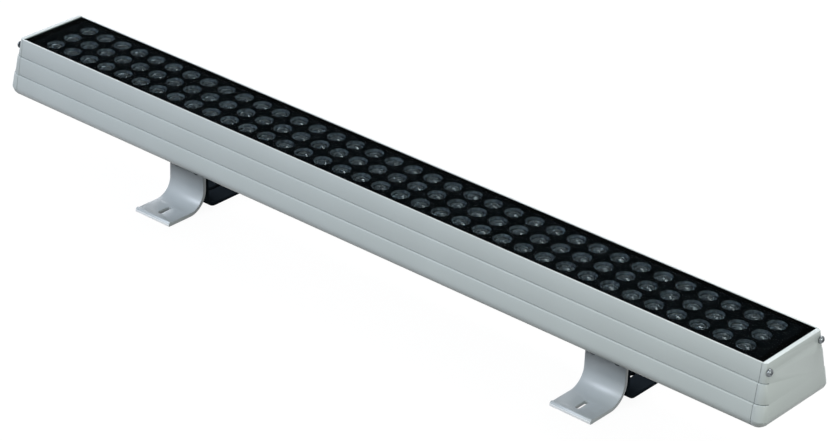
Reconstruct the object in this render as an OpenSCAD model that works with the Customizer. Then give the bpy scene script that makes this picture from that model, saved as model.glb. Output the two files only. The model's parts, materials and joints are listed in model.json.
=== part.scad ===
// Linear wall washer light: a long extruded head with a glass window over three
// rows of lenses, on two sliding brackets whose feet tilt about a pivot bolt.
// X runs along the head, Y from the front foot to the rear foot, Z is up.
// The origin is on the floor under the middle of the head.

/* [Head] */
// Length of the head over both end caps
head_len = 1012; // [700:2:1200]
// Height of the head
head_h = 66; // [60:1:80]
// Height of the head's underside above the floor
head_lift = 72; // [68:1:100]
// Width across the top edge of the extrusion
top_w = 88.4; // [86:0.2:100]
// Lean of the sides, in degrees
side_lean = 8.6; // [4:0.2:12]
// Radius of the two lower edges
edge_r = 11; // [6:0.5:16]
// Wall of the extrusion
wall = 2.6; // [2:0.1:4]
// Thickness of the floor of the extrusion
base_wall = 3; // [2.5:0.1:5]
// Height of each band of the side between two grooves
band_h = 19.2; // [15:0.1:22]
// Height of a groove
groove_w = 0.9; // [0.6:0.1:2.5]
// Depth of a groove
groove_d = 0.8; // [0.4:0.1:1.5]
// Outward step under each groove
side_step = 1.2; // [0.4:0.1:2]

/* [Lens field] */
// Lenses in each row, in three modules
lens_cols = 36; // [24:3:36]
// Rows of lenses
lens_rows = 3; // [1:1:3]
// Spacing of the lenses along the head
lens_pitch = 26.2; // [24:0.1:27]
// Spacing of the rows
row_pitch = 24.7; // [23.5:0.1:25]
// Diameter of a lens
lens_d = 21.6; // [16:0.2:22.2]
// Height of a lens
lens_h = 13; // [10:0.5:15]
// Thickness of the glass
glass_t = 3; // [2.5:0.5:5]
// Thickness of the bearing seal under the glass
seal_t = 0.8; // [0.5:0.1:1.5]

/* [End caps] */
// Thickness of an end cap at its upper edge
cap_top_t = 4.6; // [4:0.1:7]
// Thickness of an end cap at its lower edge
cap_low_t = 15.6; // [12:0.1:20]
// Thickness of the end gasket
gasket_t = 0.5; // [0.4:0.1:2]
// Diameter of the cap screws
cap_screw_d = 4; // [3:0.5:5]

/* [Brackets] */
// Place of the left bracket along the head
left_x = -280; // [-300:1:-200]
// Place of the right bracket along the head
right_x = 288; // [200:1:300]
// Length of a foot along the head
foot_len = 50; // [40:1:60]
// Thickness of the foot plates
foot_t = 4; // [3:0.5:5]
// Reach of a foot from the middle plane
foot_reach = 56; // [50:1:70]
// Inner radius of the front foot's bend
front_bend_r = 20; // [12:1:24]
// Inner radius of the rear foot's bend
rear_bend_r = 11; // [6:1:24]
// Width of the fixing slot
slot_w = 5.2; // [4.2:0.1:6.4]
// Length of the fixing slot
slot_len = 18; // [10:1:24]
// Distance of the slot's centre from the middle plane
slot_y = 37; // [34:0.5:40]
// Diameter of the pivot bolt
pivot_d = 6; // [5:0.5:8]
// Outer diameter of the hinge barrel
barrel_d = 15; // [13:0.5:18]
// Thickness of the bracket's base plate
base_t = 5; // [4:0.5:8]
// Thickness of the bracket's ears
ear_t = 5; // [4:0.5:8]

/* [Hidden] */
$fn = 48;
over = 1;                 // overrun of every cut
fit = 0.3;                // gap between pieces that are put together
slide_gap = 0.15;         // gap of the sliding faces
bolt_gap = 0.05;          // radial gap of a bolt in its bore
thread_d = 6;             // slot bolts
thread_af = 10;           // across the flats of their heads and nuts
head_t = 4;               // height of their heads
nut_t = 5;                // height of their nuts
washer_t = 1.6;
washer_d = 12;
hex_share = 1.1547;       // corner to flat of a hexagon

// Heights, from the floor
top_z = head_lift + head_h;
lean = tan(side_lean);
top_half = top_w / 2;
corner_z = head_lift + edge_r;
corner_y = top_half + 2 * side_step + lean * (top_z - corner_z) - edge_r / cos(side_lean);
low_half = corner_y + edge_r;
arc_count = 10;           // flats of a lower edge

// Along the head
joint_x = head_len / 2 - cap_low_t - gasket_t;
cap_x = joint_x + gasket_t;

// Glass, seal and lens field, from the top down
rim_w = 1.7;              // rim of the extrusion beside the glass
glass_drop = 0.3;         // the glass lies this far below the rim
glass_half = top_half - rim_w;
glass_len = 2 * joint_x;
glass_z = top_z - glass_drop - glass_t;
ledge_z = glass_z - seal_t;
ledge_half = 38;
ledge_t = 2.4;
seal_w = glass_half - ledge_half;
tray_half = ledge_half - fit;
tray_t = 3;
tray_z = glass_z - fit;    // the trays lie in the window of the seal
flange_t = 1.5;
flange_drop = 0.2;        // lens face below the tray's face
module_cols = lens_cols / 3;
module_len = module_cols * lens_pitch;
lens_z = tray_z - flange_drop;
board_t = 1.6;
board_gap = 0.4;          // lens foot above the board
board_z = lens_z - lens_h - board_gap - board_t;
board_half = tray_half - fit;
shelf_t = 2.6;
shelf_z = board_z - shelf_t;
skirt_t = 1.6;

// Slot for the bracket bolts in the underside
slot_gap = 0.8;
track_w = thread_af + slot_gap;
track_h = head_t + slot_gap;
track_mouth = thread_d + slot_gap;
track_wall = 2.4;

// Screw channels of the end caps
cap_screw_in = 3.1;       // in from the top edge of the side
cap_screw_drop = 8.9;     // below the top edge
cap_screw_y = top_half - cap_screw_in;
cap_screw_z = top_z - cap_screw_drop;
boss_d = 7;
cap_head_d = 8;
cap_head_t = 3;
cap_screw_len = 22;
cross_w = 1;              // cross recess of the cap screws
cross_len = 4.6;

// End caps
corner_steps = 4;         // flats that round a vertical corner
low_steps = 6;            // flats that round the end's lower edge
blend_steps = 4;          // flats each way between the two, plus one
end_lean = (cap_low_t - cap_top_t) / head_h;
end_angle = atan(end_lean);
low_reach = sqrt(cap_low_t * (cap_low_t - 2 * edge_r * end_lean));
gasket_in = 1.2;          // the gasket lies this far inside the outline
tongue_len = 8;           // tongues that reach into the extrusion
tongue_t = 3;
seal_end_w = tongue_len;  // the glass seal covers the tongues
pocket_t = 6;             // depth of the hollow behind the cap
drain_d = 2.6;            // drain holes in the lower edge
drain_y = 21;
drain_rise = 3;           // above the underside

// Lens and emitter
flange_w = 0.5;           // ledge of the lens that rests on the tray
moat_t = 3.5;             // depth of the moat round the dome of the lens
// Dome and moat from the middle out: shares of the lens radius and of the moat's depth
dome_shares = [[0, 0], [0.36, 0.19], [0.62, 0.57], [0.75, 1], [0.805, 1], [0.907, 0.09]];
foot_d = 9.4;             // foot of the lens
pocket_d = 7.6;           // pocket over the emitter
pocket_h = 5;
chip_w = 5;
chip_t = 0.9;
dome_d = 4.4;
dome_t = 1.4;

// Driver, hung under the shelf
driver_len = 260;
driver_w = 62;
driver_h = 25;
driver_t = 1.5;
driver_x = -20;
lug_len = 12;
small_d = 3;              // small screws
small_head_d = 5.6;
small_head_t = 2;
driver_z = shelf_z - driver_h;
post_d = 6;               // posts that carry the driver's board
post_h = 3;
pcb_t = 1.6;
pcb_gap = 0.3;
pcb_z = driver_z + driver_t + post_h;
pcb_half = driver_w / 2 - driver_t - pcb_gap;
pcb_len = driver_len - 2 * driver_t - 2 * pcb_gap;
can_d = 13;               // capacitors
can_h = 12.5;
can_x = 40;
choke_d = 20;
choke_h = 8;
choke_x = -60;
core_w = 31;              // transformer
core_h = 3;
coil_w = 20.6;
coil_h = 8.3;
term_len = 16;            // terminal block
term_h = 10;
term_gap = 2;
term_x = driver_x - pcb_len / 2 + term_gap;
term_ways = 6;
term_screw_d = 3.2;

// Leads from the driver to the first board
lead_d = 1.8;
lead_y = 6;
lead_rise = 4;            // height above the driver's board
lead_z = pcb_z + pcb_t + lead_rise;
lead_x = -(module_len + 3 * lens_pitch);
lead_bend = 6;

// Cable inlet and vent in the underside
inlet_inset = 60;         // from the end of the head
inlet_x = -(head_len / 2 - inlet_inset);
vent_x = head_len / 2 - inlet_inset;
inlet_y = 28;
inlet_d = 16;
inlet_af = 20;
cable_d = 7;              // largest cable that the inlet takes
vent_d = 12;
vent_af = 16;
collar_t = 4;
gland_stem_d = 14;
gland_stem_h = 7;
gland_nut_h = 13;
gland_nut_af = 18;
gland_seal_d = 11;
gland_seal_h = 6;
locknut_t = 4;
locknut_af = 21;

// Hinge
barrel_gap = 0.8;         // barrel below the base plate
base_z = head_lift - slide_gap - base_t;
pivot_z = base_z - barrel_gap - barrel_d / 2;
ear_x = foot_len / 2 + fit;
ear_r = 9;
wing_len = 24;            // base plate past the ears
base_half_x = ear_x + ear_t + wing_len;
base_half_y = 15;
bolt_inset = 8;           // slot bolt from the end of the base plate
bolt_x = base_half_x - bolt_inset;
rear_web_z = pivot_z - barrel_d / 2 - fit;
clamp_drop = 6;           // clamp screws below the rear foot's upper edge
clamp_z = rear_web_z - clamp_drop;
clamp_x = 15;
clamp_d = 5;
clamp_head_d = 9.5;
clamp_head_t = 2.8;
clamp_af = 8;
clamp_nut_t = 4;
clamp_socket_af = 3.4;
thread_past_share = 0.5;  // of the thread's diameter, past a nut
lip_len = 4.5;
lip_rise = 1;

// Extrudes a drawing in Y and Z along X, centred
module along_x(len) {
    rotate([90, 0, 90])
        linear_extrude(height = len, center = true) children();
}

// Cylinder along X, starting at the origin
module rod_x(d, len) {
    rotate([0, 90, 0]) cylinder(d = d, h = len);
}

// Cylinder along Y, starting at the origin
module rod_y(d, len) {
    rotate([-90, 0, 0]) cylinder(d = d, h = len);
}

// Hexagon prism standing on the origin
module hexagon(af, h) {
    cylinder(d = af * hex_share, h = h, $fn = 6);
}

// Both mirror images in Y
module both_y() {
    children();
    mirror([0, 1, 0]) children();
}

// Half width of the straight side at a depth below the top, in band k
function side_at(depth, k) = top_half + k * side_step + lean * depth;

// Right side of the outline from the top edge to the lower edge's tangent point
function side_points() = [
    [side_at(0, 0), top_z],
    for (k = [1, 2]) let (d = k * (band_h + groove_w) - groove_w,
                          in_y = side_at(d, k - 1) - groove_d)
        each [
            [side_at(d, k - 1), top_z - d],
            [in_y, top_z - d],
            [in_y, top_z - d - groove_w],
            [side_at(d, k) - side_step / 2, top_z - d - groove_w],
            [side_at(d + groove_w, k), top_z - d - groove_w - side_step / 2]
        ],
    [corner_y + edge_r * cos(side_lean), corner_z + edge_r * sin(side_lean)]
];

function mirror_points(p) = [for (i = [len(p) - 1 : -1 : 0]) [-p[i][0], p[i][1]]];

// Arc of the lower edge at radius r, from the side's tangent to the underside
function low_arc(r) = [for (i = [1 : arc_count])
    let (a = side_lean - i * (90 + side_lean) / arc_count)
    [corner_y + r * cos(a), corner_z + r * sin(a)]];

// Outline of the extrusion
module outline() {
    half = concat(side_points(), low_arc(edge_r));
    polygon(concat(half, mirror_points(half)));
}

// Inside of the extrusion between two heights, a wall away from the sides
module chamber(z_low, z_high) {
    low = side_at(top_z - z_low, 0) - wall;
    high = side_at(top_z - z_high, 0) - wall;
    polygon([[low, z_low], [high, z_high], [-high, z_high], [-low, z_low]]);
}

// Hollow under the shelf, down to the floor of the extrusion
module driver_room() {
    half = concat([
        [side_at(top_z - shelf_z, 0) - wall, shelf_z],
        [side_at(top_z - corner_z, 1) - wall, corner_z]
    ], low_arc(edge_r - base_wall));
    polygon(concat(half, mirror_points(half)));
}

module housing() {
    floor_z = head_lift + base_wall;
    color("silver") difference() {
        along_x(2 * joint_x) difference() {
            outline();
            // seat of the glass
            translate([-glass_half - fit / 2, ledge_z])
                square([2 * glass_half + fit, top_z - ledge_z + over]);
            // room for the trays between the ledges
            translate([-ledge_half, ledge_z - ledge_t - over])
                square([2 * ledge_half, ledge_t + 2 * over]);
            difference() {
                chamber(board_z, ledge_z - ledge_t);
                for (s = [-1, 1]) translate([s * cap_screw_y, cap_screw_z])
                    circle(d = boss_d);
            }
            // driver room, open round the bolt track
            difference() {
                driver_room();
                translate([-track_w / 2 - track_wall, head_lift])
                    square([track_w + 2 * track_wall, base_wall + track_h + track_wall]);
            }
            translate([-track_w / 2, floor_z]) square([track_w, track_h]);
            translate([-track_mouth / 2, head_lift - over])
                square([track_mouth, base_wall + 2 * over]);
            for (s = [-1, 1]) translate([s * cap_screw_y, cap_screw_z])
                circle(d = cap_screw_d + 2 * bolt_gap);
        }
        // threaded holes of the boards
        for (x = board_screw_x(), y = board_screw_y())
            translate([x, y, shelf_z - over])
                cylinder(d = small_d + 2 * bolt_gap, h = shelf_t + 2 * over);
        for (x = lug_screw_x(), y = [-driver_w / 4, driver_w / 4])
            translate([x, y, shelf_z - over])
                cylinder(d = small_d + 2 * bolt_gap, h = shelf_t + 2 * over);
        // way of the leads to the first board
        for (s = [-1, 1]) translate([lead_x, s * lead_y, shelf_z - over])
            cylinder(d = lead_d + 2 * fit, h = shelf_t + 2 * over);
        // inlet and vent
        translate([inlet_x, inlet_y, head_lift - over])
            cylinder(d = inlet_d + 2 * bolt_gap, h = base_wall + 2 * over);
        translate([vent_x, inlet_y, head_lift - over])
            cylinder(d = vent_d + 2 * bolt_gap, h = base_wall + 2 * over);
    }
}

module cover_glass() {
    color([0.05, 0.06, 0.08, 0.6])
        translate([-glass_len / 2, -glass_half, glass_z])
            cube([glass_len, 2 * glass_half, glass_t]);
}

module glass_seal() {
    color("dimgray") difference() {
        translate([-joint_x, -glass_half, ledge_z])
            cube([2 * joint_x, 2 * glass_half, seal_t]);
        translate([-joint_x + seal_end_w, -glass_half + seal_w, ledge_z - over])
            cube([2 * (joint_x - seal_end_w), 2 * (glass_half - seal_w), seal_t + 2 * over]);
    }
}

// Places of the lenses of module m, which is -1, 0 or 1
function lens_x(m) = [for (i = [0 : module_cols - 1])
    m * module_len + (i - (module_cols - 1) / 2) * lens_pitch];
function lens_y() = [for (j = [0 : lens_rows - 1]) (j - (lens_rows - 1) / 2) * row_pitch];

// Places of the board screws, in the gaps between four lenses
function board_screw_x() = [for (m = [-1, 0, 1], i = [-1, 0, 1])
    m * module_len + i * (floor(module_cols / 2) - 1) * lens_pitch];
function board_screw_y() = [-row_pitch / 2, row_pitch / 2];

// Left end of the tray of module m; the outer trays reach to the end caps
function tray_low(m) = m < 0 ? -(joint_x - tongue_len - fit) : (m - 1 / 2) * module_len + fit / 2;

module lens_tray(m) {
    cone_d = lens_d - 2 * flange_w;
    color([0.03, 0.03, 0.04]) difference() {
        union() {
            translate([tray_low(m), -tray_half, tray_z - tray_t])
                cube([-tray_low(-m) - tray_low(m), 2 * tray_half, tray_t]);
            both_y() translate([m * module_len - module_len / 2 + fit / 2,
                                board_half - skirt_t, board_z + board_t])
                cube([module_len - fit, skirt_t, tray_z - tray_t - board_z - board_t + over]);
        }
        for (x = lens_x(m), y = lens_y()) {
            translate([x, y, lens_z - flange_t]) cylinder(d = lens_d + fit, h = tray_t);
            translate([x, y, tray_z - tray_t - over]) cylinder(d = cone_d + fit, h = tray_t + over);
        }
    }
}

// One lens, its face at height zero
module lens() {
    cone_r = lens_d / 2 - flange_w;
    rotate_extrude() polygon(concat([for (p = dome_shares) [p[0] * lens_d / 2, -p[1] * moat_t]], [
        [lens_d / 2, 0], [lens_d / 2, -flange_t], [cone_r, -flange_t], [foot_d / 2, -lens_h],
        [pocket_d / 2, -lens_h], [pocket_d / 2, -lens_h + pocket_h], [0, -lens_h + pocket_h]
    ]));
}

module lenses(m) {
    color([0.8, 0.85, 0.9, 0.5])
        for (x = lens_x(m), y = lens_y()) translate([x, y, lens_z]) lens();
}

module led_board(m) {
    color("white") difference() {
        translate([m * module_len - module_len / 2 + fit / 2, -board_half, board_z])
            cube([module_len - fit, 2 * board_half, board_t]);
        for (x = board_screw_x(), y = board_screw_y())
            translate([x, y, board_z - over])
                cylinder(d = small_d + fit, h = board_t + 2 * over);
        for (s = [-1, 1]) translate([lead_x, s * lead_y, board_z - over])
            cylinder(d = lead_d + 2 * fit, h = board_t + 2 * over);
    }
}

module led_chips() {
    color("gold") for (m = [-1, 0, 1], x = lens_x(m), y = lens_y())
        translate([x, y, board_z + board_t]) {
            translate([-chip_w / 2, -chip_w / 2, 0]) cube([chip_w, chip_w, chip_t - fit]);
            cylinder(d = dome_d, h = chip_t + dome_t);
        }
}

// Small pan head screw: the head stands on height zero, the shank points down
module small_screw(len) {
    translate([0, 0, -len]) cylinder(d = small_d, h = len + small_head_t / 2);
    cylinder(d = small_head_d, h = small_head_t);
}

module board_screws() {
    color("lightgray") for (x = board_screw_x(), y = board_screw_y())
        translate([x, y, board_z + board_t]) small_screw(board_t + shelf_t);
}

function lug_screw_x() = [for (s = [-1, 1]) driver_x + s * (driver_len / 2 + lug_len / 2)];

module driver_case() {
    color("lightsteelblue") difference() {
        union() {
            translate([driver_x - driver_len / 2, -driver_w / 2, driver_z])
                cube([driver_len, driver_w, driver_h]);
            translate([driver_x - driver_len / 2 - lug_len, -driver_w / 2, shelf_z - driver_t])
                cube([driver_len + 2 * lug_len, driver_w, driver_t]);
        }
        translate([driver_x - driver_len / 2 + driver_t, -driver_w / 2 + driver_t,
                   driver_z + driver_t])
            cube([driver_len - 2 * driver_t, driver_w - 2 * driver_t, driver_h]);
        for (x = lug_screw_x(), y = [-driver_w / 4, driver_w / 4])
            translate([x, y, driver_z])
                cylinder(d = small_d + fit, h = driver_h + over);
        // ways of the leads through the end wall
        for (s = [-1, 1]) translate([driver_x - driver_len / 2 - over, s * lead_y, lead_z])
            rod_x(lead_d + fit, 2 * over + driver_t);
    }
    color("lightsteelblue") for (x = post_x(), y = [-1, 1])
        translate([x, y * (driver_w / 2 - driver_t - post_d), driver_z + driver_t])
            cylinder(d = post_d, h = post_h);
}

function post_x() = [for (s = [-1, 1]) driver_x + s * (driver_len / 2 - 2 * post_d)];

module driver_board() {
    color("darkgreen") translate([driver_x - pcb_len / 2, -pcb_half, pcb_z])
        cube([pcb_len, 2 * pcb_half, pcb_t]);
}

module driver_transformer() {
    color("goldenrod") translate([driver_x - core_w / 2, 0, pcb_z + pcb_t]) {
        translate([-core_w / 2, -core_w / 2, 0]) cube([core_w, core_w, core_h]);
        translate([-coil_w / 2, -coil_w / 2, core_h]) cube([coil_w, coil_w, coil_h]);
    }
}

module driver_capacitors() {
    color("navy") for (i = [0 : 2])
        translate([driver_x + can_x + i * (can_d + 2 * fit), 0, pcb_z + pcb_t])
            cylinder(d = can_d, h = can_h);
}

module driver_choke() {
    color("darkorange") translate([driver_x + choke_x, 0, pcb_z + pcb_t]) difference() {
        cylinder(d = choke_d, h = choke_h);
        translate([0, 0, -over]) cylinder(d = choke_d / 2, h = choke_h + 2 * over);
    }
}

module driver_terminals() {
    term_z = pcb_z + pcb_t;
    color("white") difference() {
        translate([term_x, -pcb_half, term_z]) cube([term_len, 2 * pcb_half, term_h]);
        for (s = [-1, 1]) translate([term_x - over, s * lead_y, lead_z])
            rod_x(lead_d, term_len / 2 + over);
        for (i = [0 : term_ways - 1])
            translate([term_x + 3 * term_len / 4, (i - (term_ways - 1) / 2) * 2 * pcb_half / term_ways,
                       term_z + term_h / 2])
                cylinder(d = term_screw_d, h = term_h);
    }
}

module driver_screws() {
    color("lightgray") for (x = lug_screw_x(), y = [-driver_w / 4, driver_w / 4])
        translate([x, y, shelf_z - driver_t]) mirror([0, 0, 1]) small_screw(driver_t + shelf_t);
}

module led_leads() {
    rise = board_z + board_t - lead_z - lead_bend;
    color("red") for (s = [-1, 1]) {
        translate([lead_x, s * lead_y, lead_z + lead_bend]) cylinder(d = lead_d, h = rise);
        translate([lead_x + lead_bend, s * lead_y, lead_z + lead_bend]) rotate([90, 0, 0])
            rotate([0, 0, 180]) rotate_extrude(angle = 90)
                translate([lead_bend, 0]) circle(d = lead_d);
        translate([lead_x + lead_bend, s * lead_y, lead_z])
            rod_x(lead_d, term_x + term_len / 2 - lead_x - lead_bend);
    }
}

// End caps: the outline run out past the gasket, with a slanted end face. Tangent
// planes round the vertical corners and the lower edge.

// Thickness of the cap at a height
function cap_at(z) = cap_top_t + end_lean * (top_z - z);

// Reach of a rounded corner along the side's normal at a height
function corner_at(z) = edge_r * cap_at(z) / cap_at(corner_z);

// Point of the rounded corner, t degrees round from the side, in band k
function corner_point(k, t, z, inset) = [
    cap_x + cap_at(z) * sin(t),
    side_at(top_z - z, k) - inset * cos(t) - corner_at(z) * (1 - cos(t)),
    z
];

// Everything past a plane through p with the outward normal n, on both sides in Y
module past_plane(p, n) {
    size = head_h;
    for (s = [-1, 1]) translate([p[0], s * p[1], p[2]])
        rotate([0, -asin(n[2] / norm(n)), s * atan2(n[1], n[0])])
            translate([0, -size, -size]) cube([size, 2 * size, 2 * size]);
}

// Layer of the cap between two depths below the top, its corners rounded for band k
module cap_layer(k, high, low, inset) {
    difference() {
        intersection() {
            translate([cap_x + cap_low_t / 2, 0, 0]) along_x(cap_low_t) outline();
            translate([cap_x - over, -2 * low_half, top_z - low])
                cube([cap_low_t + 2 * over, 4 * low_half, low - high]);
        }
        for (i = [1 : corner_steps - 1]) let (
            t = i * 90 / corner_steps,
            p = corner_point(k, t, corner_z, inset),
            run = corner_point(k, t, top_z, inset) - p,
            along = [cap_at(corner_z) * cos(t), -edge_r * sin(t), 0])
            past_plane(p, cross(run, along));
    }
}

// Reach of the end's lower rounding towards a normal u degrees below level
function reach_at(u) = norm([low_reach * cos(u), edge_r * sin(u)]);

module cap_shell() {
    pitch = band_h + groove_w;
    difference() {
        intersection() {
            union() {
                for (k = [0, 1]) {
                    cap_layer(k, k * pitch, k * pitch + band_h, 0);
                    cap_layer(k, k * pitch + band_h, (k + 1) * pitch, groove_d);
                }
                cap_layer(2, 2 * pitch, head_h, 0);
            }
            rotate([90, 0, 0]) linear_extrude(height = 4 * low_half, center = true) end_profile();
        }
        for (i = [1 : blend_steps - 1], j = [1 : blend_steps - 1]) let (
            t = i * 90 / blend_steps,
            u = j * 90 / blend_steps,
            n = [sin(t) * cos(u), cos(t) * cos(u), -sin(u)])
            past_plane([cap_x + low_reach * n[0], corner_y + edge_r * n[1], corner_z + edge_r * n[2]],
                       [n[0] / low_reach, n[1] / edge_r, n[2] / edge_r]);
    }
}

// Side view of the cap's solid side: the slanted end and its rounded lower edge
module end_profile() {
    polygon(concat([
        [cap_x - over, head_lift - over],
        [cap_x - over, top_z + over],
        [cap_x + cap_at(top_z + over), top_z + over]
    ], [for (i = [0 : low_steps]) let (u = -end_angle + i * (90 + end_angle) / low_steps)
        [cap_x + low_reach * low_reach * cos(u) / reach_at(u),
         corner_z - edge_r * edge_r * sin(u) / reach_at(u)]
    ]));
}

module end_cap_right() {
    seat_x = cap_x + cap_at(cap_screw_z - cap_head_d);
    tongue_half = ledge_half - tongue_t;
    color("silver") difference() {
        union() {
            cap_shell();
            // tongue under the end of the glass
            translate([joint_x - tongue_len, -tongue_half, ledge_z - tongue_t])
                cube([tongue_len + gasket_t + over, 2 * tongue_half, tongue_t]);
            // tongue under the shelf
            translate([joint_x - tongue_len, -tongue_half, shelf_z - tongue_t - fit])
                cube([tongue_len + gasket_t + over, 2 * tongue_half, tongue_t]);
        }
        // hollow of the cap
        translate([cap_x - over, -tongue_half, corner_z])
            cube([pocket_t + over, 2 * tongue_half, shelf_z - 2 * tongue_t - corner_z]);
        both_y() translate([0, cap_screw_y, cap_screw_z]) {
            translate([joint_x - over, 0, 0]) rod_x(cap_screw_d + fit, 2 * cap_low_t);
            translate([seat_x - cap_head_t / 3, 0, 0]) rod_x(cap_head_d + fit, cap_low_t);
        }
        both_y() translate([cap_x + cap_low_t / 3, drain_y, head_lift + drain_rise])
            rod_x(drain_d, cap_low_t);
    }
}

module end_cap_left() {
    mirror([1, 0, 0]) end_cap_right();
}

module end_gasket_right() {
    edge = concat([
        [side_at(glass_drop, 0) - gasket_in, top_z - glass_drop],
        [side_at(top_z - corner_z, 1) - gasket_in, corner_z]
    ], low_arc(edge_r - gasket_in));
    color([0.1, 0.1, 0.1]) translate([joint_x + gasket_t / 2, 0, 0]) difference() {
        along_x(gasket_t) difference() {
            polygon(concat(edge, mirror_points(edge)));
            translate([-ledge_half, corner_z]) square([2 * ledge_half, ledge_z - corner_z]);
        }
        both_y() translate([-gasket_t, cap_screw_y, cap_screw_z])
            rod_x(cap_screw_d + fit, 2 * gasket_t);
    }
}

module end_gasket_left() {
    mirror([1, 0, 0]) end_gasket_right();
}

module cap_screws_right() {
    seat_x = cap_x + cap_at(cap_screw_z - cap_head_d) - cap_head_t / 3;
    color("gainsboro") both_y() translate([seat_x, cap_screw_y, cap_screw_z]) difference() {
        union() {
            translate([-cap_screw_len, 0, 0]) rod_x(cap_screw_d, cap_screw_len + over);
            rotate([0, 90, 0]) rotate_extrude() intersection() {
                square([cap_head_d / 2, cap_head_t]);
                translate([0, cap_head_t - cap_head_d]) circle(r = cap_head_d);
                translate([0, -cap_head_t / 3]) circle(r = cap_head_d / 2 + cap_head_t / 8);
            }
        }
        for (a = [0, 90]) rotate([a, 0, 0])
            translate([cap_head_t - cross_w, -cross_len / 2, -cross_w / 2])
                cube([cap_head_t, cross_len, cross_w]);
    }
}

module cap_screws_left() {
    mirror([1, 0, 0]) cap_screws_right();
}

// Cable inlet: a threaded body, a dome nut with its rubber seal, and a locknut

module at_inlet() {
    translate([inlet_x, inlet_y, head_lift]) children();
}

module cable_gland() {
    color([0.12, 0.12, 0.13]) at_inlet() difference() {
        union() {
            cylinder(d = inlet_d, h = base_wall + locknut_t + over);
            translate([0, 0, -collar_t]) hexagon(inlet_af, collar_t);
            translate([0, 0, -collar_t - gland_stem_h])
                cylinder(d = gland_stem_d, h = gland_stem_h + over);
        }
        translate([0, 0, -collar_t - gland_stem_h - over])
            cylinder(d = cable_d, h = 2 * (collar_t + gland_stem_h) + base_wall + locknut_t);
        translate([0, 0, -collar_t - gland_stem_h - over])
            cylinder(d = gland_seal_d, h = gland_seal_h / 2 + over);
    }
}

module gland_seal() {
    color([0.05, 0.05, 0.05]) at_inlet()
        translate([0, 0, -collar_t - gland_stem_h - gland_seal_h / 2]) difference() {
            cylinder(d = gland_seal_d - 2 * bolt_gap, h = gland_seal_h - fit);
            translate([0, 0, -over]) cylinder(d = cable_d, h = gland_seal_h + 2 * over);
        }
}

module gland_nut() {
    nut_z = -collar_t - fit - gland_nut_h;
    color([0.12, 0.12, 0.13]) at_inlet() difference() {
        union() {
            translate([0, 0, nut_z + gland_nut_h / 2]) hexagon(gland_nut_af, gland_nut_h / 2);
            translate([0, 0, nut_z]) cylinder(d1 = cable_d + 2 * collar_t, d2 = gland_nut_af,
                                              h = gland_nut_h / 2);
        }
        translate([0, 0, nut_z - over]) cylinder(d = cable_d + fit, h = gland_nut_h);
        translate([0, 0, -collar_t - gland_stem_h - gland_seal_h / 2])
            cylinder(d = gland_stem_d + 2 * bolt_gap, h = gland_nut_h);
    }
}

module gland_locknut() {
    color([0.12, 0.12, 0.13]) at_inlet() translate([0, 0, base_wall]) difference() {
        hexagon(locknut_af, locknut_t);
        translate([0, 0, -over]) cylinder(d = inlet_d + 2 * bolt_gap, h = locknut_t + 2 * over);
    }
}

// Pressure vent with its locknut
module at_vent() {
    translate([vent_x, inlet_y, head_lift]) children();
}

module vent_plug() {
    color([0.12, 0.12, 0.13]) at_vent() difference() {
        union() {
            cylinder(d = vent_d, h = base_wall + locknut_t + over);
            translate([0, 0, -collar_t]) hexagon(vent_af, collar_t);
            translate([0, 0, -2 * collar_t]) cylinder(d = vent_af - over, h = collar_t + over);
        }
        translate([0, 0, -collar_t]) cylinder(d = vent_d / 3, h = 4 * collar_t);
        for (a = [0 : 90 : 270]) rotate([0, 0, a])
            translate([0, 0, -3 * collar_t / 2]) rod_y(collar_t / 4, vent_af);
    }
}

module vent_locknut() {
    color([0.12, 0.12, 0.13]) at_vent() translate([0, 0, base_wall]) difference() {
        hexagon(vent_af, locknut_t);
        translate([0, 0, -over]) cylinder(d = vent_d + 2 * bolt_gap, h = locknut_t + 2 * over);
    }
}

// Carrier of a bracket: it slides along the bolt track of the head
module bracket_base(x) {
    color("silver") translate([x, 0, 0]) difference() {
        union() {
            translate([-base_half_x, -base_half_y, base_z])
                cube([2 * base_half_x, 2 * base_half_y, base_t]);
            for (s = [-1, 1]) translate([s * (ear_x + ear_t / 2), 0, 0]) along_x(ear_t) {
                translate([0, pivot_z]) circle(r = ear_r);
                translate([-ear_r, pivot_z]) square([2 * ear_r, base_z - pivot_z + over]);
            }
        }
        translate([-base_half_x, 0, pivot_z]) rod_x(pivot_d + 2 * bolt_gap, 2 * base_half_x);
        for (s = [-1, 1]) translate([s * bolt_x, 0, base_z - over])
            cylinder(d = thread_d + fit, h = base_t + 2 * over);
    }
}

module slot_bolts(x) {
    head_z = head_lift + base_wall + slide_gap;
    end_z = base_z - nut_t - thread_past_share * thread_d;
    color("lightgray") for (s = [-1, 1]) translate([x + s * bolt_x, 0, 0]) {
        translate([0, 0, head_z]) hexagon(thread_af, head_t);
        translate([0, 0, end_z]) cylinder(d = thread_d, h = head_z - end_z + over);
    }
}

module slot_nuts(x) {
    color("lightgray") for (s = [-1, 1]) translate([x + s * bolt_x, 0, base_z - nut_t])
        difference() {
            hexagon(thread_af, nut_t);
            translate([0, 0, -over]) cylinder(d = thread_d + 2 * bolt_gap, h = nut_t + 2 * over);
        }
}

// Hexagon prism along X, starting at the origin
module hexagon_x(af, len) {
    rotate([0, 90, 0]) hexagon(af, len);
}

module pivot_bolt(x) {
    grip_x = ear_x + ear_t + washer_t;
    end_x = grip_x + nut_t + thread_past_share * pivot_d;
    color("lightgray") translate([x, 0, pivot_z]) {
        translate([-end_x, 0, 0]) rod_x(pivot_d, end_x + grip_x + over);
        translate([grip_x, 0, 0]) hexagon_x(thread_af, head_t);
    }
}

module pivot_nut(x) {
    color("lightgray") translate([x - ear_x - ear_t - washer_t - nut_t, 0, pivot_z])
        difference() {
            hexagon_x(thread_af, nut_t);
            translate([-over, 0, 0]) rod_x(pivot_d + 2 * bolt_gap, nut_t + 2 * over);
        }
}

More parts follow.
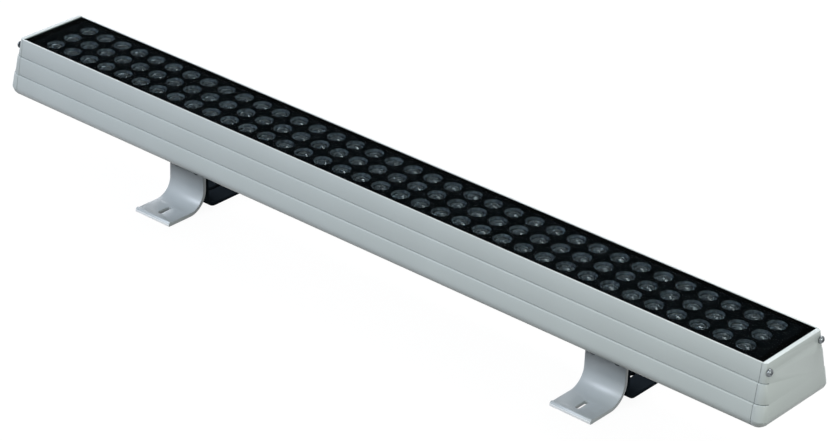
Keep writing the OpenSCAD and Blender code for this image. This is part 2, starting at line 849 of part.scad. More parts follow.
module pivot_washers(x) {
    color("lightgray") for (s = [-1, 1])
        translate([x + s * (ear_x + ear_t + washer_t / 2) - washer_t / 2, 0, pivot_z])
            difference() {
                rod_x(washer_d, washer_t);
                translate([-over, 0, 0]) rod_x(pivot_d + 2 * bolt_gap, washer_t + 2 * over);
            }
}

// Section of a foot that reaches to the negative side, web and bend included
module foot_section(web_z, bend_r) {
    centre_y = -foot_t - bend_r;
    centre_z = foot_t + bend_r;
    lip_y = -foot_reach + lip_len;
    nose = foot_t / 5;
    translate([-foot_t, centre_z]) square([foot_t, web_z - centre_z]);
    intersection() {
        translate([centre_y, centre_z]) difference() {
            circle(r = bend_r + foot_t);
            circle(r = bend_r);
        }
        translate([centre_y, 0]) square([bend_r + foot_t, centre_z]);
    }
    translate([lip_y, 0]) square([centre_y - lip_y, foot_t]);
    polygon([
        [lip_y, 0], [lip_y, foot_t], [lip_y - nose, foot_t + lip_rise],
        [-foot_reach + 2 * nose, foot_t + lip_rise], [-foot_reach, foot_t - nose],
        [-foot_reach, nose], [-foot_reach + nose, 0]
    ]);
}

// Fixing slot and screw holes of a foot on the negative side
module foot_holes() {
    for (s = [-1, 1]) translate([0, -slot_y + s * (slot_len - slot_w) / 2, -over])
        cylinder(d = slot_w, h = foot_t + lip_rise + 2 * over);
    translate([-slot_w / 2, -slot_y - (slot_len - slot_w) / 2, -over])
        cube([slot_w, slot_len - slot_w, foot_t + lip_rise + 2 * over]);
    for (s = [-1, 1]) translate([s * clamp_x, -foot_t - over, clamp_z])
        rod_y(clamp_d + fit, foot_t + 2 * over);
}

module front_foot(x) {
    color("silver") translate([x, 0, 0]) difference() {
        union() {
            along_x(foot_len) foot_section(pivot_z, front_bend_r);
            along_x(foot_len) translate([0, pivot_z]) circle(d = barrel_d);
        }
        translate([-foot_len, 0, pivot_z]) rod_x(pivot_d + 2 * bolt_gap, 2 * foot_len);
        foot_holes();
    }
}

module rear_foot(x) {
    color("silver") translate([x, 0, 0]) mirror([0, 1, 0]) difference() {
        along_x(foot_len) foot_section(rear_web_z, rear_bend_r);
        foot_holes();
    }
}

module foot_screws(x) {
    end_y = foot_t + clamp_nut_t + thread_past_share * clamp_d / 2;
    color("lightgray") for (s = [-1, 1]) translate([x + s * clamp_x, 0, clamp_z]) difference() {
        union() {
            translate([0, -foot_t - over, 0]) rod_y(clamp_d, foot_t + over + end_y);
            translate([0, -foot_t, 0]) rotate([90, 0, 0]) rotate_extrude() intersection() {
                square([clamp_head_d / 2, clamp_head_t]);
                translate([0, clamp_head_t - clamp_head_d]) circle(r = clamp_head_d);
            }
        }
        translate([0, -foot_t - clamp_head_t - over, 0]) rotate([-90, 0, 0])
            hexagon(clamp_socket_af, over + clamp_head_t / 2);
    }
}

module foot_nuts(x) {
    color("lightgray") for (s = [-1, 1]) translate([x + s * clamp_x, foot_t, clamp_z])
        difference() {
            rotate([-90, 0, 0]) hexagon(clamp_af, clamp_nut_t);
            translate([0, -over, 0]) rod_y(clamp_d + 2 * bolt_gap, clamp_nut_t + 2 * over);
        }
}

housing();
cover_glass();
glass_seal();
lens_tray(-1);  // lens_tray_left
lens_tray(0);  // lens_tray_middle
lens_tray(1);  // lens_tray_right
lenses(-1);  // lenses_left
lenses(0);  // lenses_middle
lenses(1);  // lenses_right
led_board(-1);  // led_board_left
led_board(0);  // led_board_middle
led_board(1);  // led_board_right
led_chips();
board_screws();
driver_case();
driver_board();
driver_transformer();
driver_capacitors();
driver_choke();
driver_terminals();
driver_screws();
led_leads();
end_cap_left();
end_cap_right();
end_gasket_left();
end_gasket_right();
cap_screws_left();
cap_screws_right();
cable_gland();
gland_seal();
gland_nut();
gland_locknut();
vent_plug();
vent_locknut();
bracket_base(left_x);  // bracket_base_left
bracket_base(right_x);  // bracket_base_right
slot_bolts(left_x);  // slot_bolts_left
slot_bolts(right_x);  // slot_bolts_right
slot_nuts(left_x);  // slot_nuts_left
slot_nuts(right_x);  // slot_nuts_right
pivot_bolt(left_x);  // pivot_bolt_left
pivot_bolt(right_x);  // pivot_bolt_right
pivot_nut(left_x);  // pivot_nut_left
pivot_nut(right_x);  // pivot_nut_right
pivot_washers(left_x);  // pivot_washers_left
pivot_washers(right_x);  // pivot_washers_right
front_foot(left_x);  // front_foot_left
front_foot(right_x);  // front_foot_right
rear_foot(left_x);  // rear_foot_left
rear_foot(right_x);  // rear_foot_right
foot_screws(left_x);  // foot_screws_left
foot_screws(right_x);  // foot_screws_right
foot_nuts(left_x);  // foot_nuts_left
foot_nuts(right_x);  // foot_nuts_right
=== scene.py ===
"""Linear wall washer light: finishes, detailed pieces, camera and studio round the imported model.
Lengths are in metres; mm() turns millimetres into metres."""
import json
import math

import bpy
from mathutils import Matrix, Vector


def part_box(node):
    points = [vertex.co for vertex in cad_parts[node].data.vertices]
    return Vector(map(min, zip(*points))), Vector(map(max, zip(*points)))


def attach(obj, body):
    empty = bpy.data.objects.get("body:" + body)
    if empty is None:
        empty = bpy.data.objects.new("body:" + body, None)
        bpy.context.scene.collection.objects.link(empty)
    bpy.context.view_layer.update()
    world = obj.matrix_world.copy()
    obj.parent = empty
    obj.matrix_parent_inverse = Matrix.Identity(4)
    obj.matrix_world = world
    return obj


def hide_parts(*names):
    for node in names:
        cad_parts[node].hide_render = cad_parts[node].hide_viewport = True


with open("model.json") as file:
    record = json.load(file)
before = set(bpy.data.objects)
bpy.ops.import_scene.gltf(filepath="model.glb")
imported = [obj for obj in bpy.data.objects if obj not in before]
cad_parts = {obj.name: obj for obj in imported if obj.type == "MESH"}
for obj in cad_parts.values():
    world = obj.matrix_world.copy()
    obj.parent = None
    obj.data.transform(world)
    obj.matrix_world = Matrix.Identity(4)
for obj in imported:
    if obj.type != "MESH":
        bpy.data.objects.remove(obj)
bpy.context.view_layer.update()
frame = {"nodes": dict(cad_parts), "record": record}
nodes = frame["nodes"]
SIDES = ("left", "right")
MODULES = ("left", "middle", "right")

bpy.context.scene.view_settings.view_transform = "Standard"


def mm(value):
    return value / 1000


# Camera: a pinhole camera fitted to the outline, the lens rows and the feet
FRAME_WIDTH_PX = 839
SENSOR_MM = 36
FOCAL_PX = 2995.448
CAMERA_AZIMUTH = math.radians(39.946)
CAMERA_ELEVATION = math.radians(28.077)
CAMERA_ROLL = math.radians(2.179)
CAMERA_DISTANCE = mm(3005.7)
CAMERA_SIDE = mm(32.2)
CAMERA_RISE = mm(-49.0)
CAMERA_REACH = 100
head_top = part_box("housing")[1].z


def make_camera():
    sin_a, cos_a = math.sin(CAMERA_AZIMUTH), math.cos(CAMERA_AZIMUTH)
    sin_e, cos_e = math.sin(CAMERA_ELEVATION), math.cos(CAMERA_ELEVATION)
    back = Vector((sin_a * cos_e, -cos_a * cos_e, sin_e))
    level = Vector((cos_a, sin_a, 0))
    upright = back.cross(level)
    sin_r, cos_r = math.sin(CAMERA_ROLL), math.cos(CAMERA_ROLL)
    right = cos_r * level + sin_r * upright
    up = cos_r * upright - sin_r * level
    place = right * CAMERA_SIDE + up * CAMERA_RISE + back * CAMERA_DISTANCE
    place.z += head_top
    data = bpy.data.cameras.new("camera")
    data.sensor_width = SENSOR_MM
    data.lens = FOCAL_PX * SENSOR_MM / FRAME_WIDTH_PX
    data.clip_end = CAMERA_REACH
    camera = bpy.data.objects.new("camera", data)
    axes = Matrix((right, up, back)).transposed().to_4x4()
    camera.matrix_world = Matrix.Translation(place) @ axes
    bpy.context.scene.collection.objects.link(camera)
    bpy.context.scene.camera = camera


make_camera()


# Materials: every pattern lies on Object coordinates, at its size in millimetres. A real orange
# peel or moulding grain is finer; both are drawn about as coarse as they need to be to show.
CLOUD_MM = 60       # drifts of tone across a sprayed coat
FLOW_MM = 3         # flow of the resin in a moulded lens
RELIEF_MM = 0.05    # depth of an orange peel or a moulding grain
GLASS_TINT = "#F2F7F8"
GLASS_IOR = 1.5
ACRYLIC_IOR = 1.49
GLASS_UNMIRRORED = 0.99


def linear(hex_colour):
    """sRGB hex to a linear colour with alpha 1."""
    parts = [int(hex_colour[i:i + 2], 16) / 255 for i in (1, 3, 5)]
    return [p / 12.92 if p <= 0.04045 else ((p + 0.055) / 1.055) ** 2.4 for p in parts] + [1]


def scaled(colour, share):
    """A linear colour made darker or paler, its alpha kept."""
    return [c * share for c in colour[:3]] + [1]


def grey(value):
    return (value, value, value, 1)


def add_node(tree, kind, links=None, stops=(), **settings):
    """Adds a node. A setting with an input socket's name sets its value, others are properties,
    links feed sockets, and stops are the places and colours of a colour ramp."""
    made = tree.nodes.new(kind)
    for name, value in settings.items():
        socket = made.inputs.get(name.replace("_", " ")) if name[0].isupper() else None
        if socket is not None:
            socket.default_value = value
        else:
            setattr(made, name, value)
    for name, source in (links or {}).items():
        tree.links.new(source, made.inputs[name])
    for k, (place, colour) in enumerate(stops):
        made.color_ramp.elements[k].position = place
        made.color_ramp.elements[k].color = colour
    return made


def new_material(name, **shader):
    material = bpy.data.materials.new(name)
    material.use_nodes = True
    tree = material.node_tree
    surface = tree.nodes["Principled BSDF"]
    for socket, value in shader.items():
        surface.inputs[socket.replace("_", " ")].default_value = value
    return material, tree, surface


def powder_coat(name, colour, roughness, grain_mm, bump, mottle, **shader):
    """Sprayed and baked powder: an orange peel in relief and sheen, and a faintly cloudy tone."""
    material, tree, surface = new_material(name, Roughness=roughness, **shader)
    place = add_node(tree, "ShaderNodeTexCoord").outputs["Object"]
    peel = add_node(tree, "ShaderNodeTexNoise", {"Vector": place},
                    Scale=1 / mm(grain_mm), Detail=3.0, Roughness=0.55)
    cloud = add_node(tree, "ShaderNodeTexNoise", {"Vector": place},
                     Scale=1 / mm(CLOUD_MM), Detail=2.0, Roughness=0.5)
    base = linear(colour)
    tint = add_node(tree, "ShaderNodeValToRGB", {"Fac": cloud.outputs["Fac"]},
                    [(0.3, scaled(base, 1 - mottle)), (0.7, scaled(base, 1 + mottle))])
    tree.links.new(tint.outputs["Color"], surface.inputs["Base Color"])
    sheen = add_node(tree, "ShaderNodeValToRGB", {"Fac": peel.outputs["Fac"]},
                     [(0.3, grey(roughness - 0.04)), (0.7, grey(roughness + 0.04))])
    tree.links.new(sheen.outputs["Color"], surface.inputs["Roughness"])
    relief = add_node(tree, "ShaderNodeBump", {"Height": peel.outputs["Fac"]},
                      Strength=bump, Distance=mm(RELIEF_MM))
    tree.links.new(relief.outputs["Normal"], surface.inputs["Normal"])
    return material


def moulded(name, colour, roughness, grain_mm, bump, **shader):
    """Moulded plastic or rubber: the fine grain of a spark-eroded mould."""
    material, tree, surface = new_material(name, Roughness=roughness, **shader)
    place = add_node(tree, "ShaderNodeTexCoord").outputs["Object"]
    grain = add_node(tree, "ShaderNodeTexNoise", {"Vector": place},
                     Scale=1 / mm(grain_mm), Detail=2.0, Roughness=0.5)
    base = linear(colour)
    tint = add_node(tree, "ShaderNodeValToRGB", {"Fac": grain.outputs["Fac"]},
                    [(0.35, scaled(base, 0.85)), (0.65, base)])
    tree.links.new(tint.outputs["Color"], surface.inputs["Base Color"])
    relief = add_node(tree, "ShaderNodeBump", {"Height": grain.outputs["Fac"]},
                      Strength=bump, Distance=mm(RELIEF_MM))
    tree.links.new(relief.outputs["Normal"], surface.inputs["Normal"])
    return material


def plated(name, colour, roughness, scratch_mm):
    """Bare or plated metal: bright, with fine marks in tone and sheen."""
    material, tree, surface = new_material(name, Metallic=1.0, Roughness=roughness)
    place = add_node(tree, "ShaderNodeTexCoord").outputs["Object"]
    marks = add_node(tree, "ShaderNodeTexNoise", {"Vector": place},
                     Scale=1 / mm(scratch_mm), Detail=4.0, Roughness=0.6)
    base = linear(colour)
    tint = add_node(tree, "ShaderNodeValToRGB", {"Fac": marks.outputs["Fac"]},
                    [(0.3, scaled(base, 0.88)), (0.7, base)])
    tree.links.new(tint.outputs["Color"], surface.inputs["Base Color"])
    rough = add_node(tree, "ShaderNodeValToRGB", {"Fac": marks.outputs["Fac"]},
                     [(0.3, grey(roughness - 0.05)), (0.7, grey(roughness + 0.08))])
    tree.links.new(rough.outputs["Color"], surface.inputs["Roughness"])
    return material


def cover_glass_finish():
    """Toughened glass with a low-reflection coat. The Principled shader carries the glass into
    the export, a refraction without a mirror image does nearly all of the render, and rays that
    look for a lamp pass straight on, so that the lamps light the lenses."""
    material, tree, surface = new_material(
        "toughened_low_reflection_glass", Roughness=0.0, IOR=GLASS_IOR, Metallic=0.0)
    surface.inputs["Base Color"].default_value = linear(GLASS_TINT)
    surface.inputs["Transmission Weight"].default_value = 1.0
    surface.inputs["Specular IOR Level"].default_value = 0.0
    bent = add_node(tree, "ShaderNodeBsdfRefraction", Color=linear(GLASS_TINT), Roughness=0.0,
                    IOR=GLASS_IOR)
    blend = add_node(tree, "ShaderNodeMixShader", {1: surface.outputs["BSDF"],
                                                  2: bent.outputs["BSDF"]})
    blend.inputs[0].default_value = GLASS_UNMIRRORED
    path = add_node(tree, "ShaderNodeLightPath")
    straight = add_node(tree, "ShaderNodeBsdfTransparent", Color=linear(GLASS_TINT))
    lit = add_node(tree, "ShaderNodeMixShader", {0: path.outputs["Is Shadow Ray"],
                                                1: blend.outputs["Shader"],
                                                2: straight.outputs["BSDF"]})
    tree.links.new(lit.outputs["Shader"], tree.nodes["Material Output"].inputs["Surface"])
    return material


def lens_finish(name, dark, pale, roughness):
    """Clear acrylic, moulded and polished, over a black seat: dark, with a faint flow in its
    tone and sharp glints."""
    material, tree, surface = new_material(name, Roughness=roughness, IOR=ACRYLIC_IOR)
    place = add_node(tree, "ShaderNodeTexCoord").outputs["Object"]
    flow = add_node(tree, "ShaderNodeTexNoise", {"Vector": place},
                    Scale=1 / mm(FLOW_MM), Detail=2.0, Roughness=0.5)
    tint = add_node(tree, "ShaderNodeValToRGB", {"Fac": flow.outputs["Fac"]},
                    [(0.35, linear(dark)), (0.65, linear(pale))])
    tree.links.new(tint.outputs["Color"], surface.inputs["Base Color"])
    return material


FINISHES = {
    # Powder coat on extruded and cast aluminium: an even pale grey with a satin sheen
    "housing_metal": powder_coat("satin_silver_grey_powder_coat", "#B1B8B8", 0.42, 0.9,
                                 0.12, 0.02),
    # Silver coat on bent steel plate: a little smoother and cooler than the head
    "bracket_metal": powder_coat("smooth_silver_coat_on_steel", "#A9B0B4", 0.36, 0.8,
                                 0.10, 0.03),
    # Toughened glass: clear, with hardly a mirror image, so the lenses show through it
    "cover_glass": cover_glass_finish(),
    # Silicone rubber, moulded: a black line without sheen round the glass
    "seal_rubber": moulded("black_silicone_rubber", "#060606", 0.8, 0.5, 0.2,
                           Specular_IOR_Level=0.0),
    # Polycarbonate, moulded: matt and almost black, so the lenses stand out
    "tray_plastic": moulded("matt_black_polycarbonate", "#050607", 0.6, 0.6, 0.2,
                            Specular_IOR_Level=0.0),
    # Acrylic dome, polished: dark glassy grey with sharp glints
    "lens_acrylic": lens_finish("polished_acrylic_dome", "#191D21", "#30363B", 0.08),
    # Acrylic brim at the foot of the dome: a paler ring, painted highlight on the clear plastic
    "lens_brim_highlight": lens_finish("acrylic_brim_painted_highlight", "#545C62", "#737B81", 0.12),
    # Acrylic wall of the moat: a dim arc behind each dome, painted light in the clear wall
    "lens_wall_painted_light": lens_finish("acrylic_wall_painted_light", "#3A4046", "#5A6167", 0.2),
    # Acrylic lying on the black tray, at the rim and the moat's floor: black between the lenses
    "lens_moat": moulded("black_edged_acrylic", "#060708", 0.6, 0.8, 0.1,
                         Specular_IOR_Level=0.0),
    # Bent steel plate coloured nearly black, without sheen: painted shade under the head
    "rear_bracket": powder_coat("rear_foot_painted_shade_near_black", "#1F252B", 0.8, 0.8, 0.10, 0.05,
                                Specular_IOR_Level=0.0),
    # Steel where the plate was cut, coloured nearly white beside the coat: a painted highlight
    "front_edge_highlight": powder_coat("painted_highlight_on_the_front_edge", "#F0F3F5", 0.35, 0.6, 0.15, 0.03),
    # Powder coat made darker on the faces of the fine grooves: painted shade, a darker line
    "painted_groove_shade": powder_coat("painted_shade_in_the_grooves", "#6F7677", 0.6, 0.9, 0.10, 0.02,
                               Specular_IOR_Level=0.2),
    # Silicone rubber of the end gaskets: a thin grey seam
    "gasket_grey": moulded("grey_silicone_rubber", "#8B9290", 0.6, 0.5, 0.2),
    # Solder mask on the emitters' boards: white lacquer, slightly shiny
    "board_white": moulded("white_solder_mask", "#C9CCC8", 0.45, 0.8, 0.1),
    # Phosphor under clear silicone: yellow while the light is off
    "emitter": moulded("phosphor_under_silicone", "#D9B23C", 0.25, 0.4, 0.05),
    # Solder mask on the driver's board: green lacquer
    "board_green": moulded("green_solder_mask", "#1F5A36", 0.4, 0.8, 0.1),
    # Aluminium as it leaves the mill: bright grey with fine marks
    "case_aluminium": plated("mill_finish_aluminium", "#C9CBCD", 0.38, 0.6),
    # Nylon, moulded: off-white and satin
    "terminal_plastic": moulded("white_nylon", "#DCDCD4", 0.5, 0.6, 0.1),
    # Polyester tape, wound: warm yellow and smooth
    "transformer_tape": moulded("yellow_polyester_tape", "#C9A13A", 0.35, 0.7, 0.1),
    # PVC sleeve, shrunk on: dark blue with a soft gloss
    "capacitor_can": moulded("blue_pvc_sleeve", "#26305A", 0.3, 0.7, 0.05),
    # Copper wire under enamel, wound: orange brown and shiny
    "choke_copper": moulded("enamelled_copper_wire", "#9A4E22", 0.3, 0.5, 0.2),
    # PVC insulation, extruded: red and satin
    "lead_red": moulded("red_pvc_insulation", "#8E1B16", 0.4, 0.6, 0.05),
    # Nylon, moulded: black with a fine grain
    "black_plastic": moulded("black_moulded_nylon", "#111214", 0.45, 0.5, 0.2),
    # Steel, zinc plated: bright and slightly cool
    "fastener_steel": plated("zinc_plated_steel", "#C4C7CA", 0.28, 0.5),
    # Stainless steel, brushed: mid-grey heads with a soft shine on the cap screws
    "screw_stainless": plated("brushed_stainless_steel", "#777C80", 0.24, 0.5),
    # Steel, phosphated: dull and dark, on the screws that join the feet
    "screw_dark": plated("dull_phosphated_steel", "#4E5358", 0.45, 0.5),
}


def paint_cad_nodes():
    """Every CAD node takes the finish of its slot in the record."""
    for part in frame["record"]["subparts"]:
        slots = nodes[part["node"]].data.materials
        slots.clear()
        slots.append(FINISHES[part["material_slot"]])


paint_cad_nodes()


# Bench: pieces that stand in for CAD nodes, with edges eased as on the real light
MERGE_MM = 0.004            # the CAD mesh's loose triangles meet within this
FLAT_DEG = 0.6              # faces that turn less than this are one flat face
SHARP_DEG = 28              # edges that turn more than this get a round
SMOOTH_DEG = 32             # edges that turn more than this stay crisp in the shading
ROUND_STEPS = 2
FOOT_ROUND_MM = 0.35
CAP_SCREW_ROUND_MM = 0.15
FOOT_SCREW_ROUND_MM = 0.2
CAP_ROUND_MM = 0.15
HOUSING_ROUND_MM = 0.12
FITTING_ROUNDS_MM = (("bracket_base", 0.4), ("slot_bolts", 0.3), ("slot_nuts", 0.3),
                     ("pivot_bolt", 0.3), ("pivot_nut", 0.3), ("pivot_washers", 0.15),
                     ("foot_nuts", 0.2))
GROOVE_HEIGHTS_MM = (85, 130)   # the side grooves lie between these heights
GROOVE_FACES_MM = (0.3, 1.1)    # a groove's own faces are between these in height
GROOVE_STEEPNESS = 0.3          # and their normals rise or fall less than this
CUT_DEPTH_MM = 0.6              # the cut end face of a foot lies within this of its front
CUT_FACING = -0.5


def deselect():
    if bpy.context.object and bpy.context.object.mode != "OBJECT":
        bpy.ops.object.mode_set(mode="OBJECT")
    bpy.ops.object.select_all(action="DESELECT")


def body_of(node):
    for body, members in frame["record"]["behaviour"]["bodies"].items():
        if node in members:
            return body
    raise ValueError(node)


def slot_of(node):
    return next(p["material_slot"] for p in frame["record"]["subparts"] if p["node"] == node)


def eased_copy(node, edge_mm, finish=None):
    """A copy of a CAD node with a small round on its sharp edges. It rides with that node's
    body and replaces it, in the slot's finish where no other is given."""
    deselect()
    piece = bpy.data.objects.new(node + "_eased", nodes[node].data.copy())
    bpy.context.scene.collection.objects.link(piece)
    piece.select_set(True)
    bpy.context.view_layer.objects.active = piece
    bpy.ops.object.mode_set(mode="EDIT")
    bpy.ops.mesh.select_all(action="SELECT")
    bpy.ops.mesh.remove_doubles(threshold=mm(MERGE_MM))
    bpy.ops.mesh.dissolve_limited(angle_limit=math.radians(FLAT_DEG))
    bpy.ops.object.mode_set(mode="OBJECT")
    round_over = piece.modifiers.new("round_over", "BEVEL")
    round_over.width = mm(edge_mm)
    round_over.segments = ROUND_STEPS
    round_over.limit_method = "ANGLE"
    round_over.angle_limit = math.radians(SHARP_DEG)
    round_over.use_clamp_overlap = True
    round_over.harden_normals = False
    bpy.ops.object.modifier_apply(modifier=round_over.name)
    bpy.ops.object.shade_smooth_by_angle(angle=math.radians(SMOOTH_DEG))
    piece.data.name = piece.name
    piece.data.materials.clear()
    piece.data.materials.append(FINISHES[finish or slot_of(node)])
    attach(piece, body_of(node))
    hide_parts(node)
    return piece


def shade_grooves(piece):
    """Colours the faces of the fine side grooves darker: painted shade in the grooves."""
    piece.data.materials.append(FINISHES["painted_groove_shade"])
    points = piece.data.vertices
    low, high = (mm(height) for height in GROOVE_HEIGHTS_MM)
    least, most = (mm(height) for height in GROOVE_FACES_MM)
    for face in piece.data.polygons:
        heights = [points[i].co.z for i in face.vertices]
        narrow = least < max(heights) - min(heights) < most
        steep = abs(face.normal.z) < GROOVE_STEEPNESS
        if narrow and steep and low < face.center.z < high:
            face.material_index = 1


def paint_front_edge_highlight(piece):
    """The cut face at the front end of a foot is coloured nearly white, brighter than the coat: a
    painted highlight.
    """
    piece.data.materials.append(FINISHES["front_edge_highlight"])
    front = min(v.co.y for v in piece.data.vertices)
    for face in piece.data.polygons:
        if face.center.y < front + mm(CUT_DEPTH_MM) and face.normal.y < CUT_FACING:
            face.material_index = 1


for side in SIDES:
    # The rear feet are coloured nearly black: painted shade under the head.
    eased_copy(f"rear_foot_{side}", FOOT_ROUND_MM, "rear_bracket")
    nodes[f"end_gasket_{side}"].data.materials[0] = FINISHES["gasket_grey"]
    paint_front_edge_highlight(eased_copy(f"front_foot_{side}", FOOT_ROUND_MM))
    eased_copy(f"cap_screws_{side}", CAP_SCREW_ROUND_MM, "screw_stainless")
    eased_copy(f"foot_screws_{side}", FOOT_SCREW_ROUND_MM, "screw_dark")
    for family, edge in FITTING_ROUNDS_MM:
        eased_copy(f"{family}_{side}", edge)
    shade_grooves(eased_copy(f"end_cap_{side}", CAP_ROUND_MM))
shade_grooves(eased_copy("housing", HOUSING_ROUND_MM))


# Lens field: each lens is a flat rim, a moat and a dome, spun from its profile
LENS_TURNS = 12
# Radius and drop in millimetres from the rim inwards, each with the finish of the ring inside it
# The brim and the wall rings are paler than the dome: painted highlight and painted light.
LENS_PROFILE = ((10.8, 0.0, "lens_moat"), (9.9, 0.15, "lens_wall_painted_light"), (9.3, 3.2, "lens_moat"),
                (8.6, 3.3, "lens_brim_highlight"), (7.5, 2.4, "lens_acrylic"), (4.4, 0.8, "lens_acrylic"),
                (0.0, 0.0, None))
LENS_FINISHES = ("lens_acrylic", "lens_brim_highlight", "lens_wall_painted_light", "lens_moat")
LENS_MERGE_MM = 0.01
LENS_LEAST_MM = 18          # a solid of the CAD node that is narrower than this is no lens
LENS_SMOOTH_DEG = 40
UPSIDE_DOWN = -0.5


def lens_centres(module):
    """Middles of the lenses of a CAD node, from its separate solids."""
    mesh = nodes[module].data
    parent = list(range(len(mesh.vertices)))

    def root(i):
        while parent[i] != i:
            parent[i] = parent[parent[i]]
            i = parent[i]
        return i

    for edge in mesh.edges:
        a, b = (root(i) for i in edge.vertices)
        parent[a] = b
    groups = {}
    for vertex in mesh.vertices:
        groups.setdefault(root(vertex.index), []).append(vertex.co)
    centres = []
    for points in groups.values():
        spread = max(p.x for p in points) - min(p.x for p in points)
        if spread > mm(LENS_LEAST_MM):
            centres.append(Vector(((max(p.x for p in points) + min(p.x for p in points)) / 2,
                                   (max(p.y for p in points) + min(p.y for p in points)) / 2,
                                   max(p.z for p in points))))
    return centres


def lens_blank():
    """One lens about the origin, its highest point at zero."""
    deselect()
    mesh = bpy.data.meshes.new("lens_blank")
    lens = bpy.data.objects.new("lens_blank", mesh)
    points = [(mm(radius), 0, mm(-drop)) for radius, drop, _ in LENS_PROFILE]
    mesh.from_pydata(points, [(k, k + 1) for k in range(len(points) - 1)], [])
    bpy.context.scene.collection.objects.link(lens)
    lens.select_set(True)
    bpy.context.view_layer.objects.active = lens
    bpy.ops.object.mode_set(mode="EDIT")
    bpy.ops.mesh.select_all(action="SELECT")
    bpy.ops.mesh.spin(steps=LENS_TURNS, angle=math.tau, center=(0, 0, 0), axis=(0, 0, 1))
    bpy.ops.mesh.select_all(action="SELECT")
    bpy.ops.mesh.remove_doubles(threshold=mm(LENS_MERGE_MM))
    bpy.ops.mesh.normals_make_consistent(inside=False)
    bpy.ops.object.mode_set(mode="OBJECT")
    if min(face.normal.z for face in mesh.polygons) < UPSIDE_DOWN:
        mesh.flip_normals()
    for finish in LENS_FINISHES:
        mesh.materials.append(FINISHES[finish])
    inner_radii = [mm(radius) for radius, _, _ in LENS_PROFILE[1:]]
    for face in mesh.polygons:
        inner = min(math.hypot(*mesh.vertices[i].co.xy) for i in face.vertices)
        ring = min(range(len(inner_radii)), key=lambda k: abs(inner_radii[k] - inner))
        face.material_index = LENS_FINISHES.index(LENS_PROFILE[ring][2])
    return lens


def lens_field(module):
    """The lenses of one tray, copies of the blank joined into one mesh."""
    blank = lens_blank()
    copies = []
    for centre in lens_centres(module):
        lens = bpy.data.objects.new("lens_copy", blank.data.copy())
        lens.data.transform(Matrix.Translation(centre))
        bpy.context.scene.collection.objects.link(lens)
        copies.append(lens)
    bpy.data.objects.remove(blank)
    deselect()
    for lens in copies:
        lens.select_set(True)
    field = copies[0]
    bpy.context.view_layer.objects.active = field
    bpy.ops.object.join()
    bpy.ops.object.shade_smooth_by_angle(angle=math.radians(LENS_SMOOTH_DEG))
    field.name = module + "_domes"
    field.data.name = field.name
    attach(field, body_of(module))
    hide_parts(module)


for module in MODULES:
    lens_field("lenses_" + module)


# Studio: pale floor, soft lamps, white surroundings where the camera looks
WHITE = (1, 1, 1, 1)
SURROUNDINGS_TINT = "#DDE3EA"
SURROUNDINGS_STRENGTH = 0.22
FLOOR_SIZE = 12
FLOOR_GAP = mm(-0.3)        # the floor lies this far below the feet
FLOOR_BASE = "#303030"      # it takes the shadow, and the glow below makes it white
FLOOR_GLOW = 0.94
LAMPS = (
    # name, place, target, width and depth, watts, colour
    ("key_left", (-1.3, -2.3, 2.3), (-0.2, 0, 0.1), (1.5, 1.0), 76, "#E9F1FF"),
    ("key_right", (0.9, -2.3, 2.3), (0.2, 0, 0.1), (1.5, 1.0), 36, "#FFFFF4"),
    ("fill", (3.0, -0.4, 1.0), (0.3, 0, 0.1), (1.4, 1.0), 33, "#FBFFF7"),
    ("overhead", (0.3, 0.9, 2.0), (0.1, 0, 0.1), (1.8, 0.5), 34, "#FFFFFF"),
    ("glint_left", (-2.7, 1.2, 0.45), (0, 0, 0.1), (1.2, 0.5), 14, "#F4F8FF"),
    ("glint_back", (-0.7, 2.9, 0.45), (0, 0, 0.1), (1.2, 0.5), 14, "#F4F8FF"),
)


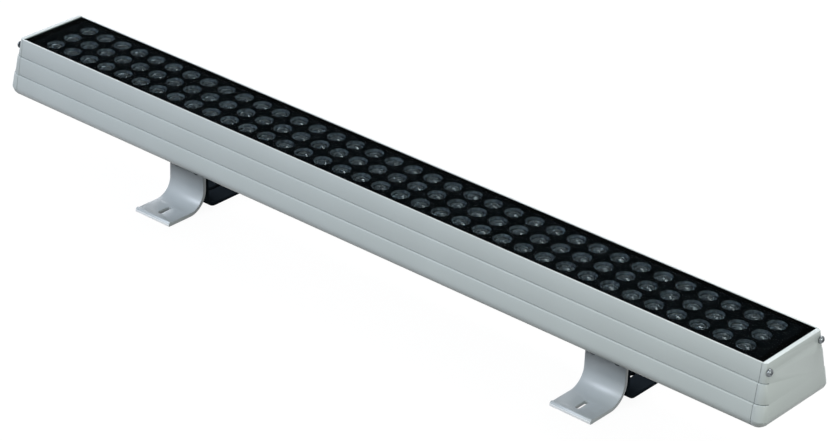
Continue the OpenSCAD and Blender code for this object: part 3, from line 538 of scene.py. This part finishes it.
def seen_ray(tree):
    """1 on rays that show the background: seen directly, mirrored or through glass, before
    they meet a matt surface."""
    path = add_node(tree, "ShaderNodeLightPath")
    direct = add_node(tree, "ShaderNodeMath", {0: path.outputs["Is Camera Ray"],
                                               1: path.outputs["Is Glossy Ray"]},
                      operation="MAXIMUM")
    shown = add_node(tree, "ShaderNodeMath", {0: direct.outputs[0],
                                              1: path.outputs["Is Transmission Ray"]},
                     operation="MAXIMUM")
    unlit = add_node(tree, "ShaderNodeMath", {0: path.outputs["Diffuse Depth"]},
                     operation="LESS_THAN")
    unlit.inputs[1].default_value = 0.5
    return add_node(tree, "ShaderNodeMath", {0: shown.outputs[0], 1: unlit.outputs[0]},
                    operation="MULTIPLY").outputs[0]


def make_world():
    world = bpy.data.worlds.new("studio")
    bpy.context.scene.world = world
    world.use_nodes = True
    tree = world.node_tree
    tree.nodes.clear()
    dim = add_node(tree, "ShaderNodeBackground", Color=linear(SURROUNDINGS_TINT),
                   Strength=SURROUNDINGS_STRENGTH)
    white = add_node(tree, "ShaderNodeBackground", Color=WHITE, Strength=1.0)
    choice = add_node(tree, "ShaderNodeMixShader", {0: seen_ray(tree),
                                                   1: dim.outputs[0], 2: white.outputs[0]})
    output = add_node(tree, "ShaderNodeOutputWorld")
    tree.links.new(choice.outputs[0], output.inputs["Surface"])


def make_floor():
    deselect()
    bpy.ops.mesh.primitive_plane_add(size=FLOOR_SIZE, location=(0, 0, FLOOR_GAP))
    floor = bpy.context.object
    floor.name = "studio_floor"
    bpy.ops.object.transform_apply(location=True, rotation=False, scale=False)
    material, tree, surface = new_material("white_paper_sweep", Roughness=0.9)
    surface.inputs["Base Color"].default_value = linear(FLOOR_BASE)
    lift = add_node(tree, "ShaderNodeEmission", Color=WHITE, Strength=FLOOR_GLOW)
    seen = add_node(tree, "ShaderNodeAddShader", {0: surface.outputs["BSDF"], 1: lift.outputs[0]})
    blend = add_node(tree, "ShaderNodeMixShader", {0: seen_ray(tree), 1: surface.outputs["BSDF"],
                                                  2: seen.outputs[0]})
    tree.links.new(blend.outputs["Shader"], tree.nodes["Material Output"].inputs["Surface"])
    floor.data.materials.append(material)


def area_lamp(name, place, target, size, power, colour):
    data = bpy.data.lights.new(name, "AREA")
    data.shape = "RECTANGLE"
    data.size, data.size_y = size
    data.energy = power
    data.color = linear(colour)[:3]
    lamp = bpy.data.objects.new(name, data)
    lamp.location = place
    lamp.rotation_euler = (Vector(target) - Vector(place)).to_track_quat("-Z", "Y").to_euler()
    bpy.context.scene.collection.objects.link(lamp)


make_world()
make_floor()
for lamp_settings in LAMPS:
    area_lamp(*lamp_settings)
